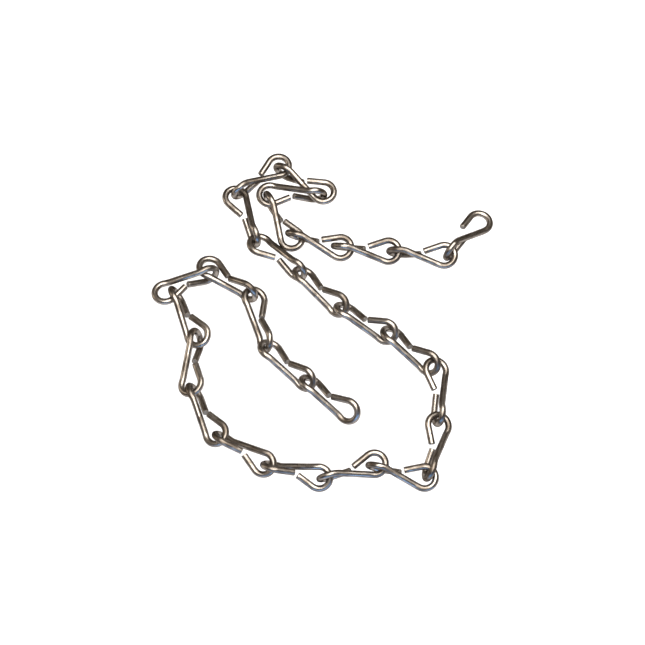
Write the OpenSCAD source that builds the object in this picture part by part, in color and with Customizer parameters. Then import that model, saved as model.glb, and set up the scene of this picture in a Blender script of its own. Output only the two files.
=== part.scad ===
// Single-jack safety chain with an open hook at one end, lying loosely on a flat surface.
// +Z is up. The origin is on the surface, under the middle of the chain's box. Millimetres.

/* [Wire] */
// Diameter of the drawn wire
wire_d = 2.7; // [2.4:0.1:2.8]

/* [Link] */
// Length of a link over both rings
link_length = 30; // [29.5:0.5:32]
// Width of a ring over the wire
ring_width = 11.6; // [11.4:0.1:12]
// Angle at which the shank leaves a ring, to the link's axis
lead_angle = 16; // [15.5:0.5:18]
// Angle by which a cut end stops short of the link's axis
end_lift = 5; // [0:1:6]
// Distance between the two cut ends at mid-link
end_gap = 1.2; // [0.8:0.2:2.4]

/* [Hook] */
// Angle that the hook's bend turns past square, towards its mouth
hook_turn = 6; // [0:2:14]
// Straight wire at the hook's free end
hook_tail = 7; // [3:0.5:8]

/* [Lay] */
// Clearance between two rings that hang in each other
ring_play = 0.2; // [0.2:0.05:0.4]

/* [Hidden] */
$fn = 48;
STEEL = [0.62, 0.6, 0.57];
ring_r = (ring_width - wire_d) / 2;
tip_x = (link_length - wire_d) / 2;
ring_x = tip_x - ring_r;
// Two stretches of wire are joined by a ball this much wider, so that they are one solid
joint_swell = 0.02;
// A ring's side runs straight from the ring to the middle of the link
side_angle = asin(ring_r / ring_x);
side_run = sqrt(ring_x * ring_x - ring_r * ring_r);
// The shank turns out of each ring's plane on an arc, so that its two halves meet in line
lead_turn = atan(sin(lead_angle));
lead_r = (2 * ring_x * tan(lead_angle) - ring_r * (1 + pow(sin(lead_angle), 2)) / cos(lead_angle))
    / (1 / cos(lead_turn) - 1);
shank_run = 2 * (ring_x - ring_r * sin(lead_angle)) / (cos(lead_turn) * cos(lead_angle))
    - 2 * lead_r * tan(lead_turn);

// Each row is one piece of the chain as it lies, from the hook to the last link: heading, tilt with the
// front end up, roll, slack towards the piece before it, and a shift to the left of its heading.
LAY = [
    [230, 11, 0, 0, 0],
    [174, -3, -10, 0.6, 0],
    [174, 0, -20, 1.2, 0],
    [163, 0, -15, 4.5, 0],
    [118, 0, 0, 4.5, 0],
    [0, 0, 0, 0, 0],
    [150, 0, 0, 0.5, -1],
    [216, 0, 0, 2.6, 0],
    [294, 0, -10, 0, 0],
    [323, 0, -20, 0.2, 0],
    [317, 0, 140, 1, 0],
    [330, 0, 135, 1.2, 0],
    [320, 0, 140, 2.4, 0],
    [272, 0, -20, 1.2, 0],
    [258, 0, -20, 0.6, 0],
    [167, 0, -10, 0.3, 0],
    [196, 0, -10, 4, 0],
    [166, 0, 150, 1.2, 0],
    [147, 0, 150, 1.2, 0],
    [118, 0, -25, 1.2, 0],
    [86, 0, -25, 0.6, 0],
    [118, 0, -20, 3, 0],
    [25, 0, -10, 4.8, 0],
    [325, 0, 165, 4.5, 0],
    [284, 0, 155, 0.6, 0],
    [318, 0, 145, 0.3, 0],
    [322, 0, 135, 2, 0],
];
// Middle of the hook
START = [59.5, 37.3, 4.44];

// Direction in which a row's piece points
function front(row) = [cos(row[1]) * cos(row[0]), cos(row[1]) * sin(row[0]), sin(row[1])];

// Way from the middle of piece i - 1 to the middle of piece i. Piece i pulls on the tip of the piece before
// it, and its own tip lies square to that wire, so an upright ring turns on it and a flat one is pulled in line.
function pitch(i) =
    let (before = front(LAY[i - 1]), ahead = front(LAY[i]), flat = pow(cos(LAY[i][2]), 2))
    let (pull = flat * ahead + (1 - flat) * before)
    tip_x * before - (wire_d + ring_play) * pull / norm(pull) + (tip_x - LAY[i][3]) * ahead
        + LAY[i][4] * [-sin(LAY[i][0]), cos(LAY[i][0]), 0];

// Middle of every piece, each one hung on the piece before it
MIDDLES = [for (i = 0, at = START; i < len(LAY); i = i + 1, at = at + (i < len(LAY) ? pitch(i) : [0, 0, 0])) at];

// Wire bent on a radius, starting on the x axis
module bend(r, turn) rotate_extrude(angle = turn) translate([r, 0]) circle(d = wire_d);

// Joins two stretches of wire at a distance x
module joint(x) translate([x, 0, 0]) sphere(d = wire_d + joint_swell);

// Straight wire along +y, starting at a distance x
module straight(x, run) translate([x, 0, 0]) rotate([-90, 0, 0]) cylinder(h = run, d = wire_d);

// Where the shank leaves the ring, turned so that it bends out of the ring's plane
module at_lead() translate([ring_x, 0, 0]) rotate(90 + lead_angle) translate([ring_r, 0, -lead_r])
    rotate([0, -90, 0]) children();

// One end of a piece in the xy plane, pointing along +x: a straight tail, the ring and the bend to the shank
module end_piece(lap, tail) {
    translate([ring_x, 0, 0]) rotate(-lap) {
        bend(ring_r, lap + 90 + lead_angle);
        mirror([0, 1, 0]) straight(ring_r, tail);
    }
    at_lead() {
        joint(lead_r);
        bend(lead_r, lead_turn);
        rotate(lead_turn) joint(lead_r);
    }
}

// An end whose ring closes against the shank at mid-link
module closed_end() end_piece(90 + side_angle - end_lift, side_run - end_gap / 2);

// A piece on its own axis: the front end upright and closed, the shank, and the rear end lying flat
module piece() {
    rotate([90, 0, 0]) {
        closed_end();
        at_lead() rotate(lead_turn) straight(lead_r, shank_run);
    }
    rotate(a = 180, v = [0, 1, 1]) rotate([90, 0, 0]) children();
}

// Puts a piece in its place in the lay
module placed(i) translate(MIDDLES[i]) rotate([LAY[i][2], -LAY[i][1], LAY[i][0]]) children();

module hook() color(STEEL) placed(0) piece() end_piece(90 + hook_turn, hook_tail);

module link(i) color(STEEL) placed(i) piece() closed_end();

hook();
for (i = [1:len(LAY) - 1]) link(i);
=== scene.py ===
import math

import bpy
import numpy as np
from bpy.props import FloatProperty, FloatVectorProperty, IntProperty, PointerProperty
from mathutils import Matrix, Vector


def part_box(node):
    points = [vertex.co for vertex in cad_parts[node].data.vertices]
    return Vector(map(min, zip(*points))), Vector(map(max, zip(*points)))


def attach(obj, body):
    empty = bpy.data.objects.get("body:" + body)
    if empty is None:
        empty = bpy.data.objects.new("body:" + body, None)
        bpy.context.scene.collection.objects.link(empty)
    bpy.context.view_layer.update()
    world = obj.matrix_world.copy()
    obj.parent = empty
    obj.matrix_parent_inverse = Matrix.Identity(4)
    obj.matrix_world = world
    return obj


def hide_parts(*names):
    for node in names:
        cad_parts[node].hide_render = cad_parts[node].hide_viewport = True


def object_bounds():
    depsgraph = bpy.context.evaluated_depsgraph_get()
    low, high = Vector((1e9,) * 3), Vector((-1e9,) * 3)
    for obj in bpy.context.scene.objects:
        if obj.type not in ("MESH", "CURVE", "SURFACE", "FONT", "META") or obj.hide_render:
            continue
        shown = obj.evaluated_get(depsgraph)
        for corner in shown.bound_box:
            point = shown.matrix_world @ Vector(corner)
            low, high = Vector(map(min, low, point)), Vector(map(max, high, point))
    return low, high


bl_info = {
    "name": "Jack Chain with Open Hook",
    "version": (1, 0, 0),
    "blender": (4, 5, 0),
    "location": "View3D > Sidebar > Chain",
    "description": "Drawn steel wire for a loosely laid safety chain and its open hook",
    "category": "Object",
}

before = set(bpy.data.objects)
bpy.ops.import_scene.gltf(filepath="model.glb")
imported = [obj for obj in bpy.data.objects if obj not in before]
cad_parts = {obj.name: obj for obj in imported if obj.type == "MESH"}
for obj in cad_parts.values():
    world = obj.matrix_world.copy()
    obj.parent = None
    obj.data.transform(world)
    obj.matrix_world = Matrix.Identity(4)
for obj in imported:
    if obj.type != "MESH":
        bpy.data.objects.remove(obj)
CAD_LOW, CAD_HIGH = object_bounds()

MM = 0.001
HOOK = "hook"
# How far a piece's box may be from its CAD node's box
FIT = 0.15 * MM

# The lay, from the hook to the last link: heading, tilt with the front end up, roll (degrees), slack
# towards the piece before it, and a shift to the left of its heading (millimetres)
LAY = [
    (230, 11, 0, 0, 0),
    (174, -3, -10, 0.6, 0),
    (174, 0, -20, 1.2, 0),
    (163, 0, -15, 4.5, 0),
    (118, 0, 0, 4.5, 0),
    (0, 0, 0, 0, 0),
    (150, 0, 0, 0.5, -1),
    (216, 0, 0, 2.6, 0),
    (294, 0, -10, 0, 0),
    (323, 0, -20, 0.2, 0),
    (317, 0, 140, 1, 0),
    (330, 0, 135, 1.2, 0),
    (320, 0, 140, 2.4, 0),
    (272, 0, -20, 1.2, 0),
    (258, 0, -20, 0.6, 0),
    (167, 0, -10, 0.3, 0),
    (196, 0, -10, 4, 0),
    (166, 0, 150, 1.2, 0),
    (147, 0, 150, 1.2, 0),
    (118, 0, -25, 1.2, 0),
    (86, 0, -25, 0.6, 0),
    (118, 0, -20, 3, 0),
    (25, 0, -10, 4.8, 0),
    (325, 0, 165, 4.5, 0),
    (284, 0, 155, 0.6, 0),
    (318, 0, 145, 0.3, 0),
    (322, 0, 135, 2, 0),
]
# Middle of the hook
START = np.array([59.5, 37.3, 4.44]) * MM


class ChainSizes(bpy.types.PropertyGroup):
    """Sizes of the wire, the links and the hook"""

    wire: FloatProperty(name="Wire", description="Diameter of the drawn wire",
                        default=2.7 * MM, unit="LENGTH", precision=5)
    link_length: FloatProperty(name="Link length", description="Length of a link over both rings",
                               default=30 * MM, unit="LENGTH", precision=4)
    ring_width: FloatProperty(name="Ring width", description="Width of a ring over the wire",
                              default=11.6 * MM, unit="LENGTH", precision=4)
    lead: FloatProperty(name="Lead angle", description="Angle at which the shank leaves a ring",
                        default=math.radians(16), subtype="ANGLE")
    end_lift: FloatProperty(name="End lift", description="Angle by which a cut end stops short of the axis",
                            default=math.radians(5), subtype="ANGLE")
    end_gap: FloatProperty(name="End gap", description="Distance between the two cut ends at mid-link",
                           default=1.2 * MM, unit="LENGTH", precision=4)
    hook_turn: FloatProperty(name="Hook turn", description="Angle that the hook's bend turns past square",
                             default=math.radians(6), subtype="ANGLE")
    hook_tail: FloatProperty(name="Hook tail", description="Straight wire at the hook's free end",
                             default=7 * MM, unit="LENGTH", precision=4)
    ring_play: FloatProperty(name="Ring play", description="Clearance between two hanging rings",
                             default=0.2 * MM, unit="LENGTH", precision=5)
    round_off: FloatProperty(name="Edge rounding", description="Rounding of a sheared end's edge",
                             default=0.22 * MM, unit="LENGTH", precision=5)
    hook_round: FloatProperty(name="Hook end rounding", description="Rounding of the hook's free end",
                              default=0.6 * MM, unit="LENGTH", precision=5)
    shear: FloatProperty(name="Shear slant", description="Angle of a sheared end to square",
                         default=math.radians(6), subtype="ANGLE")
    sides: IntProperty(name="Sides", description="Sides of the wire's section", default=40, min=12)
    rows: FloatProperty(name="Row spacing", description="Distance between the rows of a wire's mesh",
                        default=0.28 * MM, unit="LENGTH", precision=5)


class SteelLook(bpy.types.PropertyGroup):
    """Colours and finish of the bare drawn wire"""

    bright: FloatVectorProperty(name="Bright steel", description="Colour where the wire is clean",
                                default=(0.40, 0.363, 0.325), subtype="COLOR", min=0, max=1)
    dull: FloatVectorProperty(name="Dull steel", description="Colour of the drawing film and handling marks",
                              default=(0.10, 0.079, 0.060), subtype="COLOR", min=0, max=1)
    edge: FloatVectorProperty(name="Edge tint", description="Tint of what the wire reflects at a glance",
                              default=(0.03, 0.04, 0.06), subtype="COLOR", min=0, max=1)
    cut: FloatVectorProperty(name="Cut steel", description="Colour of the sheared faces",
                             default=(0.34, 0.31, 0.28), subtype="COLOR", min=0, max=1)
    roughness: FloatProperty(name="Roughness", description="Roughness of clean wire", default=0.26)
    streaks: FloatProperty(name="Streak depth", description="Depth of the drawing lines",
                           default=0.018 * MM, unit="LENGTH", precision=6)


class StageLook(bpy.types.PropertyGroup):
    """Floor, room and camera"""

    floor: FloatVectorProperty(name="Floor", description="Colour of the plain floor",
                               default=(0.95, 0.955, 0.965), subtype="COLOR", min=0, max=1)
    drop: FloatProperty(name="Floor drop", description="Distance from the chain down to the floor",
                        default=90 * MM, unit="LENGTH", precision=3)
    elevation: FloatProperty(name="Elevation", description="Camera's angle above the floor",
                             default=math.radians(68), subtype="ANGLE")
    distance: FloatProperty(name="Distance", description="Camera's distance", default=0.9, unit="LENGTH")
    lens: FloatProperty(name="Lens", description="Focal length", default=121.6, unit="CAMERA")
    room: FloatVectorProperty(name="Room", description="Colour of the room that the wire reflects",
                              default=(0.20, 0.17, 0.14), subtype="COLOR", min=0, max=1)
    room_light: FloatProperty(name="Room light", description="Strength of the room's light", default=0.7)


# ---- Geometry of the wire ----

# Rows of a sheared face as shares of its radius, and rows of its rounded edge
FACE_ROWS = (0.25, 0.5, 0.75, 0.92)
EDGE_ROWS = 6
# Rows left out of the tube at each end, where the face's own rows stand instead
END_MARGIN = 4
# Depth of the drawn wire's out-of-round as a share of its radius, and the forming tool's marks: how many
# there are, and how far round the wire one reaches
OUT_OF_ROUND = 0.005
TOOL_MARKS = 7
MARK_ROUND = 0.16
# How far from a cut end the slant of its face reaches, and what sets its random draws apart
SHEAR_REACH = 3 * MM
SHEAR_SEED = 500
# Spread of the rubbed metal at a ring's tip, and place and spread of the metal that the tool bore on
WORN_ARC = math.radians(42)
BENT_AT = math.radians(75)
BENT_ARC = math.radians(30)
# Share of the edge rounding that counts as cut metal, and how far apart two wires lie in the pattern (mm)
CUT_SHARE = 0.8
APART = 100


def rotation(axis, angle):
    """Matrix that turns by an angle about an axis: cos a I + sin a [k]x + (1 - cos a) k k'."""
    k = np.asarray(axis, float) / np.linalg.norm(axis)
    cross = np.array([[0, -k[2], k[1]], [k[2], 0, -k[0]], [-k[1], k[0], 0]])
    return math.cos(angle) * np.eye(3) + math.sin(angle) * cross + (1 - math.cos(angle)) * np.outer(k, k)


def link_form(size):
    """Driving lengths and angles of a link: ring radius, distance from the middle to a tip and to a ring's
    centre, and the arc on which the shank turns out of a ring's plane so that its halves meet in line."""
    ring = (size.ring_width - size.wire) / 2
    tip = (size.link_length - size.wire) / 2
    centre = tip - ring
    turn = math.atan(math.sin(size.lead))
    bend = (2 * centre * math.tan(size.lead) - ring * (1 + math.sin(size.lead) ** 2) / math.cos(size.lead))
    bend /= 1 / math.cos(turn) - 1
    half = (centre - ring * math.sin(size.lead)) / (math.cos(turn) * math.cos(size.lead))
    return {"ring": ring, "tip": tip, "centre": centre, "turn": turn, "bend": bend,
            "half": half - bend * math.tan(turn)}


def end_path(form, lap, tail, lead, spacing):
    """Centre line of one end in the xy plane, from the free end of its tail to the middle of the shank. The
    straight tail meets the ring square to its radius at the angle -lap, the ring runs on a circle to
    90 degrees + lead, and the shank leaves on an arc out of the plane and then straight. Returns the
    points, the two directions that span the wire's section at each, how far each is round the ring, and
    its share of the straight shank's length."""
    def steps(length):
        return max(3, int(length / spacing))

    def radial(a):
        return np.stack([np.cos(a), np.sin(a), 0 * a], 1)

    up = np.array([0.0, 0.0, 1.0])
    ring, bend, turn, half = (form[key] for key in ("ring", "bend", "turn", "half"))
    centre = np.array([form["centre"], 0, 0])
    leave = math.pi / 2 + lead
    # The tail, from its free end to the ring
    back = np.array([-math.sin(lap), -math.cos(lap), 0])
    first = radial(np.array([-lap]))[0]
    along = np.linspace(tail, 0, steps(tail), endpoint=False)[:, None]
    # The ring
    angle = np.linspace(-lap, leave, steps(ring * (leave + lap)), endpoint=False)
    # The arc out of the ring's plane, and the straight shank
    out = radial(np.array([leave]))[0]
    ahead = np.array([-out[1], out[0], 0])
    b = np.linspace(0, turn, steps(bend * turn), endpoint=False)[:, None]
    shank = np.linspace(0, half, steps(half))[:, None]
    direction = math.cos(turn) * ahead - math.sin(turn) * up
    start = ring * out + bend * (math.sin(turn) * ahead - (1 - math.cos(turn)) * up)
    points = np.concatenate([
        ring * first + along * back,
        ring * radial(angle),
        ring * out + bend * (np.sin(b) * ahead - (1 - np.cos(b)) * up),
        start + shank * direction,
    ]) + centre
    one = np.concatenate([np.tile(first, (len(along), 1)), radial(angle),
                          np.tile(out, (len(b) + len(shank), 1))])
    other = np.concatenate([
        np.tile(up, (len(along) + len(angle), 1)),
        np.cos(b) * up + np.sin(b) * ahead,
        np.tile(math.cos(turn) * up + math.sin(turn) * ahead, (len(shank), 1)),
    ])
    round_ring = np.concatenate([np.full(len(along), -lap), angle, np.full(len(b) + len(shank), leave)])
    twist = np.concatenate([np.zeros(len(points) - len(shank)), shank[:, 0] / half])
    return points, one, other, round_ring, twist


def piece_path(form, front, rear, lead, spacing):
    """Centre line of a whole piece: the front end turned upright, then the rear end in reverse, which is the
    same end turned half way round the axis (0, 1, 1). The section turns a little along the shank, so that
    both halves meet without a step. front and rear are each (lap, tail)."""
    upright = rotation((1, 0, 0), math.pi / 2)
    to_rear = rotation((0, 1, 1), math.pi) @ upright
    p, one, other, angle, twist = end_path(form, *front, lead, spacing)
    q, one_r, other_r, angle_r, twist_r = end_path(form, *rear, lead, spacing)
    p, one, other = p @ upright.T, one @ upright.T, other @ upright.T
    q, one_r, other_r = (q @ to_rear.T)[::-1], (one_r @ to_rear.T)[::-1], -(other_r @ to_rear.T)[::-1]
    step = math.atan2(one[-1] @ other_r[0], one[-1] @ one_r[0])
    points = np.concatenate([p, q[1:]])
    section = np.stack([np.concatenate([one, one_r[1:]]), np.concatenate([other, other_r[1:]])], 1)
    offset = np.concatenate([-step / 2 * twist, step / 2 * twist_r[::-1][1:]])
    round_ring = np.concatenate([angle, angle_r[::-1][1:]])
    return points, section, offset, round_ring


def end_rows(radius, round_off):
    """Rows of a sheared end, from the middle of its face outwards: distance from the end and radius. The
    face is flat, and its edge is a quarter of a circle."""
    face = (radius - round_off) * np.array(FACE_ROWS)
    arc = np.linspace(0, math.pi / 2, EDGE_ROWS)
    depth = np.concatenate([np.zeros(len(face)), round_off * (1 - np.cos(arc))])
    rim = np.concatenate([face, radius - round_off + round_off * np.sin(arc)])
    return depth, rim


def relief(seed, along, theta, length, radius):
    """Depth pressed into the round wire at each point: a slow out-of-round of the drawn wire, twice round
    and wandering along it, and a few shallow marks left by the forming tool. A mark falls off as e to the
    minus square of the distance along the wire and round it."""
    rng = np.random.default_rng(seed)
    phase = rng.uniform(0, 2 * math.pi, 3)
    wander = 3 * np.sin(along / length * 9 + phase[1])
    depth = OUT_OF_ROUND * (1 + np.sin(2 * theta + phase[0] + wander))
    places = rng.uniform(0.08, 0.92, TOOL_MARKS) * length
    sides = rng.uniform(0, 2 * math.pi, TOOL_MARKS)
    widths = rng.uniform(0.5, 1.4, TOOL_MARKS) * MM
    depths = rng.uniform(0.012, 0.034, TOOL_MARKS)
    for place, side, wide, deep in zip(places, sides, widths, depths):
        off = ((along - place) / wide) ** 2
        aside = ((1 - np.cos(theta - side)) / MARK_ROUND) ** 2
        depth = depth + deep * np.exp(-off - aside)
    return depth * radius


def wire_grid(size, form, front, rear, rear_round, seed):
    """A tube along a piece's path: a point is the path's point plus the radius times (cos a, sin a) in the
    section's two directions. Each end has extra rows for its sheared face. Returns the grid of points and
    the attributes that the steel reads: place along and round the wire, and marks (cut, worn, bent)."""
    radius = size.wire / 2
    points, section, offset, round_ring = piece_path(form, front, rear, size.lead, size.rows)
    gaps = np.linalg.norm(np.diff(points, axis=0), axis=1)
    along = np.concatenate([[0], np.cumsum(gaps)])
    length = along[-1]
    depth, rim = end_rows(radius, size.round_off)
    rear_depth, rear_rim = end_rows(radius, rear_round)
    body = slice(END_MARGIN, len(points) - END_MARGIN)
    s = np.concatenate([depth, along[body], length - rear_depth[::-1]])
    reach = np.concatenate([rim, np.full(len(points[body]), radius), rear_rim[::-1]])
    centre = np.stack([np.interp(s, along, points[:, k]) for k in range(3)], 1)
    rows = np.clip(np.searchsorted(along, s), 0, len(points) - 1)
    theta = np.linspace(0, 2 * math.pi, size.sides, endpoint=False)[None, :] + offset[rows][:, None]
    one, other = section[rows, 0], section[rows, 1]
    full = reach[:, None] - relief(seed, s[:, None], theta, length, radius) * (reach[:, None] / radius)
    grid = centre[:, None] + full[..., None] * (np.cos(theta)[..., None] * one[:, None]
                                                + np.sin(theta)[..., None] * other[:, None])
    # Each face is sheared a little out of square, so one side of it lies further in
    rng = np.random.default_rng(seed + SHEAR_SEED)
    for way, from_end in ((points[1] - points[0], s), (points[-2] - points[-1], length - s)):
        inward = way / np.linalg.norm(way)
        lean = math.tan(size.shear * rng.uniform(0.3, 1))
        near = np.clip(1 - from_end / SHEAR_REACH, 0, 1)[:, None]
        shift = lean * (radius + full * np.cos(theta - rng.uniform(0, 2 * math.pi))) * near ** 2
        grid += shift[..., None] * inward
    # Rings rub on the inside of their tips, and the forming tool bears on their sides
    whole = np.ones_like(theta)
    place = round_ring[rows][:, None]
    inside = np.clip(-np.cos(theta - offset[rows][:, None]), 0, 1)
    worn = np.exp(-(place / WORN_ARC) ** 2) * inside ** 1.5
    bent = np.exp(-((np.abs(place) - BENT_AT) / BENT_ARC) ** 2) * whole
    cut = np.minimum(s, (length - s) * size.round_off / rear_round) < size.round_off * CUT_SHARE
    where = np.stack([s[:, None] / MM + APART * seed * whole, full * np.cos(theta) / MM,
                      full * np.sin(theta) / MM], 2)
    return grid, where, np.stack([cut[:, None] * whole, worn, bent], 2)


def wire_mesh(name, grids, turn, middle):
    """The closed mesh of one bent wire, put in its place in the lay: rows of quads round the wire and a fan
    of triangles on each end's face."""
    grid, where, marks = grids
    count, sides = grid.shape[:2]
    verts = np.concatenate([grid.reshape(-1, 3), grid[0].mean(0)[None], grid[-1].mean(0)[None]])
    verts = verts @ turn.T + middle
    j = np.arange(sides)
    following = (j + 1) % sides
    row = (np.arange(count - 1) * sides)[:, None]
    quads = np.stack([row + j, row + sides + j, row + sides + following, row + following], 2).reshape(-1, 4)
    first, last = count * sides, count * sides + 1
    fans = np.concatenate([np.stack([np.full(sides, first), j, following], 1),
                           np.stack([np.full(sides, last), (count - 1) * sides + following,
                                     (count - 1) * sides + j], 1)])
    mesh = bpy.data.meshes.new(name)
    mesh.from_pydata(verts, [], quads.tolist() + fans.tolist())
    for label, grid_values in (("wire", where), ("marks", marks)):
        flat = grid_values.reshape(-1, 3)
        values = np.concatenate([flat, grid_values[0].mean(0)[None], grid_values[-1].mean(0)[None]])
        attribute = mesh.attributes.new(label, "FLOAT_VECTOR", "POINT")
        attribute.data.foreach_set("vector", values.astype(np.float32).ravel())
    mesh.polygons.foreach_set("use_smooth", np.ones(len(mesh.polygons), bool))
    mesh.validate()
    mesh.update()
    return mesh


# ---- Places in the lay ----


def pose(row):
    """Matrix that turns a piece to a row's heading, tilt and roll: about z, then -y, then x."""
    heading, tilt, roll = (math.radians(v) for v in row[:3])
    return rotation((0, 0, 1), heading) @ rotation((0, 1, 0), -tilt) @ rotation((1, 0, 0), roll)


def middles(size, form):
    """Middle of every piece. Each hangs on the tip of the piece before it: its own tip lies a wire's width
    and the play back along the pull, which is its own direction for a flat ring and the direction of the
    piece before it for an upright one. Then it is drawn back by its slack and shifted to its left."""
    places = [START]
    for before, row in zip(LAY, LAY[1:]):
        ahead, behind = pose(row)[:, 0], pose(before)[:, 0]
        flat = math.cos(math.radians(row[2])) ** 2
        pull = flat * ahead + (1 - flat) * behind
        pull *= (size.wire + size.ring_play) / np.linalg.norm(pull)
        heading = math.radians(row[0])
        left = np.array([-math.sin(heading), math.cos(heading), 0])
        slack, shift = row[3] * MM, row[4] * MM
        places.append(places[-1] + form["tip"] * behind - pull + (form["tip"] - slack) * ahead + shift * left)
    return places


def lay_piece(index, node, material, rear=None, rear_round=None):
    """Makes the wire of one piece, checks it against its CAD node, and puts it on that node's body. The rear
    end is closed like the front one, unless its (lap, tail) and the rounding of its cut end are given."""
    size = bpy.context.scene.chain_sizes
    form = link_form(size)
    side = math.asin(form["ring"] / form["centre"]) - size.end_lift
    run = math.sqrt(form["centre"] ** 2 - form["ring"] ** 2) - size.end_gap / 2
    closed = (math.pi / 2 + side, run)
    grids = wire_grid(size, form, closed, rear or closed, rear_round or size.round_off, index + 1)
    mesh = wire_mesh(node + "_wire", grids, pose(LAY[index]), middles(size, form)[index])
    piece = bpy.data.objects.new(node + "_wire", mesh)
    bpy.context.scene.collection.objects.link(piece)
    corners = np.array([v.co for v in mesh.vertices])
    low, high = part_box(node)
    miss = max(np.abs(corners.min(0) - np.array(low)).max(), np.abs(corners.max(0) - np.array(high)).max())
    if miss > FIT:
        raise RuntimeError(f"{node} is {miss / MM:.2f} mm off its CAD node: the lay and the design differ")
    mesh.materials.append(material)
    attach(piece, node)
    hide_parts(node)


# ---- Steel ----


def paint(colour, share=1.0):
    """A colour darkened to a share of itself, with full alpha."""
    return (*(c * share for c in colour), 1)


class Nodes:
    """Short calls for building a material's node tree"""

    def __init__(self, name):
        self.material = bpy.data.materials.new(name)
        self.material.use_nodes = True
        self.tree = self.material.node_tree
        self.shader = self.tree.nodes["Principled BSDF"]

    def add(self, kind, inputs=(), **settings):
        """A node with its settings, and its inputs given by name or number as values or links."""
        node = self.tree.nodes.new(kind)
        for key, value in settings.items():
            setattr(node, key, value)
        for key, value in dict(inputs).items():
            self.join(value, node.inputs[key])
        return node

    def join(self, value, socket):
        if isinstance(value, bpy.types.NodeSocket):
            self.tree.links.new(value, socket)
        else:
            socket.default_value = value

    def math(self, operation, a, b=0.0, clamp=False):
        return self.add("ShaderNodeMath", {0: a, 1: b}, operation=operation, use_clamp=clamp).outputs[0]

    def noise(self, vector, scale, detail=2.0, rough=0.5):
        inputs = {"Vector": vector, "Scale": scale, "Detail": detail, "Roughness": rough}
        return self.add("ShaderNodeTexNoise", inputs).outputs["Fac"]

    def stretch(self, vector, scale):
        return self.add("ShaderNodeMapping", {"Vector": vector, "Scale": scale}).outputs["Vector"]

    def between(self, value, low, high, to_low=0.0, to_high=1.0):
        inputs = {"Value": value, "From Min": low, "From Max": high, "To Min": to_low, "To Max": to_high}
        return self.add("ShaderNodeMapRange", inputs, interpolation_type="SMOOTHSTEP").outputs["Result"]

    def mix(self, factor, a, b):
        node = self.add("ShaderNodeMix", data_type="RGBA")
        self.join(factor, node.inputs["Factor"])
        self.join(a, node.inputs["A"])
        self.join(b, node.inputs["B"])
        return node.outputs["Result"]


def bare_steel():
    """Bare drawn wire: lines along the wire from the drawing die, a patchy brown film, brighter metal where
    rings rub, rough sheared ends and fine pits. The patterns follow the wire's own attributes, and every
    piece shares the one material."""
    name = "bare drawn wire"
    if name in bpy.data.materials:
        return bpy.data.materials[name]
    look = bpy.context.scene.steel_look
    n = Nodes(name)
    place = n.add("ShaderNodeAttribute", attribute_name="wire").outputs["Vector"]
    marks = n.add("ShaderNodeAttribute", attribute_name="marks").outputs["Vector"]
    split = n.add("ShaderNodeSeparateXYZ", {"Vector": marks})
    cut, worn, bent = split.outputs["X"], split.outputs["Y"], split.outputs["Z"]

    # Patterns, finer across the wire than along it; their scales are per millimetre
    lines = n.noise(n.stretch(place, (0.12, 4.0, 4.0)), scale=1.0, detail=4.0, rough=0.65)
    fine_lines = n.noise(n.stretch(place, (0.35, 14.0, 14.0)), scale=1.0, detail=3.0, rough=0.6)
    film = n.noise(n.stretch(place, (0.16, 0.5, 0.5)), scale=1.0, detail=3.0, rough=0.55)
    pits = n.noise(place, scale=7.0)
    face = n.noise(place, scale=3.2, detail=4.0, rough=0.7)

    # Colour: the film and the lines dull the wire, and rubbing clears it
    dullness = n.between(film, 0.38, 0.68, to_low=0.06, to_high=0.75)
    dullness = n.math("ADD", dullness, n.between(lines, 0.46, 0.66, to_high=0.45), clamp=True)
    dullness = n.math("ADD", dullness, n.math("MULTIPLY", bent, 0.12), clamp=True)
    dullness = n.math("SUBTRACT", dullness, n.math("MULTIPLY", worn, 0.45), clamp=True)
    colour = n.mix(dullness, paint(look.bright), paint(look.dull))
    dark_pit = n.between(pits, 0.62, 0.72, to_high=0.6)
    colour = n.mix(dark_pit, colour, paint(look.dull, 0.45))
    torn = n.mix(n.between(face, 0.35, 0.65), paint(look.cut), paint(look.cut, 0.55))
    n.join(n.mix(cut, colour, torn), n.shader.inputs["Base Color"])

    # Roughness: more under the film and on the cut ends, less where rings rub
    rough = n.between(film, 0.35, 0.7, to_low=look.roughness, to_high=look.roughness + 0.13)
    rough = n.math("ADD", rough, n.between(fine_lines, 0.4, 0.7, to_high=0.07))
    rough = n.math("ADD", rough, n.math("MULTIPLY", cut, 0.22))
    rough = n.math("SUBTRACT", rough, n.math("MULTIPLY", worn, 0.07), clamp=True)
    n.join(rough, n.shader.inputs["Roughness"])

    # Relief: drawing lines, pits, and the torn face of a sheared end
    height = n.math("ADD", n.math("MULTIPLY", lines, 0.6), n.math("MULTIPLY", fine_lines, 0.4))
    height = n.math("SUBTRACT", height, n.math("MULTIPLY", dark_pit, 0.5))
    height = n.math("ADD", height, n.math("MULTIPLY", n.math("MULTIPLY", cut, face), 2.5))
    bump = n.add("ShaderNodeBump", {"Height": height, "Strength": 0.6, "Distance": look.streaks})
    n.join(bump.outputs["Normal"], n.shader.inputs["Normal"])
    n.shader.inputs["Metallic"].default_value = 1.0
    n.shader.inputs["Specular Tint"].default_value = paint(look.edge)
    n.shader.inputs["Anisotropic"].default_value = 0.35
    return n.material


# ---- Stage ----


# Half the width of the square floor
FLOOR_HALF = 3.0
# How far the camera's aim lies left of the chain's centre
AIM_LEFT = 0.5 * MM
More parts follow.
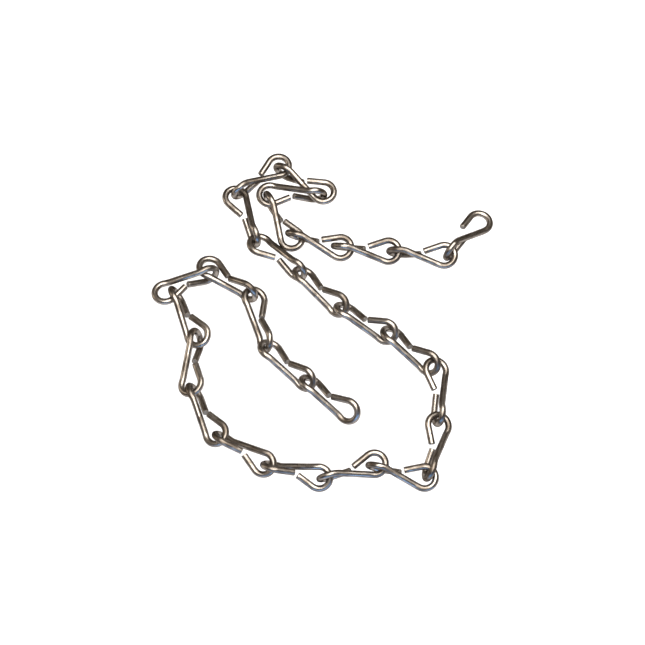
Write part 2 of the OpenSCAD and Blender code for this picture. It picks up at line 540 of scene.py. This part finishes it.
# Lamps, all facing the origin: name, place, width, depth, power (W) and colour
LAMPS = [
    ("overhead softbox", (0.05, -0.04, 0.66), 0.86, 0.52, 10.5, (1.0, 0.97, 0.93)),
    ("cool front strip", (0.05, -0.70, 0.13), 1.0, 0.14, 2.6, (0.2, 0.47, 1.0)),
    ("warm side strip", (-0.70, 0.10, 0.22), 0.12, 0.5, 0.9, (1.0, 0.86, 0.70)),
]


def floor_paper(look):
    """Plain pale paper with a very faint tooth."""
    n = Nodes("pale paper")
    place = n.add("ShaderNodeTexCoord").outputs["Object"]
    tooth = n.between(n.noise(place, scale=900.0), 0.3, 0.7, to_high=0.02)
    n.join(n.mix(tooth, paint(look.floor), (0.8, 0.8, 0.8, 1)), n.shader.inputs["Base Color"])
    n.shader.inputs["Roughness"].default_value = 0.9
    n.shader.inputs["Specular IOR Level"].default_value = 0.1
    return n.material


def softbox(name, place, width, depth, power, colour):
    """A rectangular lamp at a place, facing the origin."""
    data = bpy.data.lights.new(name, "AREA")
    data.shape = "RECTANGLE"
    data.size = width
    data.size_y = depth
    data.energy = power
    data.color = colour
    lamp = bpy.data.objects.new(name, data)
    lamp.location = place
    lamp.rotation_euler = (-Vector(place)).to_track_quat("-Z", "Y").to_euler()
    bpy.context.scene.collection.objects.link(lamp)


# ---- Operators ----


class ChainHook(bpy.types.Operator):
    """Make the open hook from one bent wire"""

    bl_idname = "jack_chain.make_hook"
    bl_label = "Hook"

    def execute(self, context):
        size = context.scene.chain_sizes
        rear = (math.pi / 2 + size.hook_turn, size.hook_tail)
        lay_piece(0, HOOK, bare_steel(), rear, size.hook_round)
        return {"FINISHED"}


class ChainLinks(bpy.types.Operator):
    """Make every link of the chain, each from one bent wire"""

    bl_idname = "jack_chain.make_links"
    bl_label = "Links"

    def execute(self, context):
        for index in range(1, len(LAY)):
            lay_piece(index, f"link_{index:02d}", bare_steel())
        return {"FINISHED"}


class ChainStage(bpy.types.Operator):
    """Set the plain floor, the soft lamps, the room and the camera"""

    bl_idname = "jack_chain.set_stage"
    bl_label = "Stage"

    def execute(self, context):
        look = context.scene.stage_look
        centre = (CAD_LOW + CAD_HIGH) / 2
        under = CAD_LOW.z - look.drop
        corners = [(x * FLOOR_HALF, y * FLOOR_HALF, under) for x, y in ((-1, -1), (1, -1), (1, 1), (-1, 1))]
        mesh = bpy.data.meshes.new("floor")
        mesh.from_pydata(corners, [], [(0, 1, 2, 3)])
        mesh.materials.append(floor_paper(look))
        floor = bpy.data.objects.new("floor", mesh)
        context.scene.collection.objects.link(floor)

        for lamp in LAMPS:
            softbox(*lamp)
        world = bpy.data.worlds.new("studio")
        world.use_nodes = True
        room = world.node_tree.nodes["Background"]
        room.inputs["Color"].default_value = paint(look.room)
        room.inputs["Strength"].default_value = look.room_light
        context.scene.world = world
        context.scene.view_settings.view_transform = "Standard"

        data = bpy.data.cameras.new("camera")
        data.lens = look.lens
        data.sensor_width = 36
        data.clip_start = 0.01
        data.clip_end = 20
        camera = bpy.data.objects.new("camera", data)
        context.scene.collection.objects.link(camera)
        back = Vector((0, -math.cos(look.elevation), math.sin(look.elevation)))
        aim = Vector((centre.x - AIM_LEFT, centre.y, CAD_LOW.z))
        camera.location = aim + look.distance * back
        camera.rotation_euler = (-back).to_track_quat("-Z", "Y").to_euler()
        context.scene.camera = camera
        return {"FINISHED"}


class ChainPanel(bpy.types.Panel):
    """Lists the chain's operators, sizes and looks"""

    bl_label = "Jack Chain"
    bl_idname = "VIEW3D_PT_jack_chain"
    bl_space_type = "VIEW_3D"
    bl_region_type = "UI"
    bl_category = "Chain"

    def draw(self, context):
        for operator in OPERATORS:
            self.layout.operator(operator.bl_idname)
        for settings in (context.scene.chain_sizes, context.scene.steel_look, context.scene.stage_look):
            column = self.layout.column(align=True)
            for name in settings.__annotations__:
                column.prop(settings, name)


OPERATORS = (ChainHook, ChainLinks, ChainStage)
CLASSES = (ChainSizes, SteelLook, StageLook, *OPERATORS, ChainPanel)


def register():
    for cls in CLASSES:
        bpy.utils.register_class(cls)
    bpy.types.Scene.chain_sizes = PointerProperty(type=ChainSizes)
    bpy.types.Scene.steel_look = PointerProperty(type=SteelLook)
    bpy.types.Scene.stage_look = PointerProperty(type=StageLook)


def unregister():
    del bpy.types.Scene.stage_look, bpy.types.Scene.steel_look, bpy.types.Scene.chain_sizes
    for cls in reversed(CLASSES):
        bpy.utils.unregister_class(cls)


def main():
    register()
    bpy.ops.jack_chain.make_hook()
    bpy.ops.jack_chain.make_links()
    bpy.ops.jack_chain.set_stage()


if __name__ == "__main__":
    main()
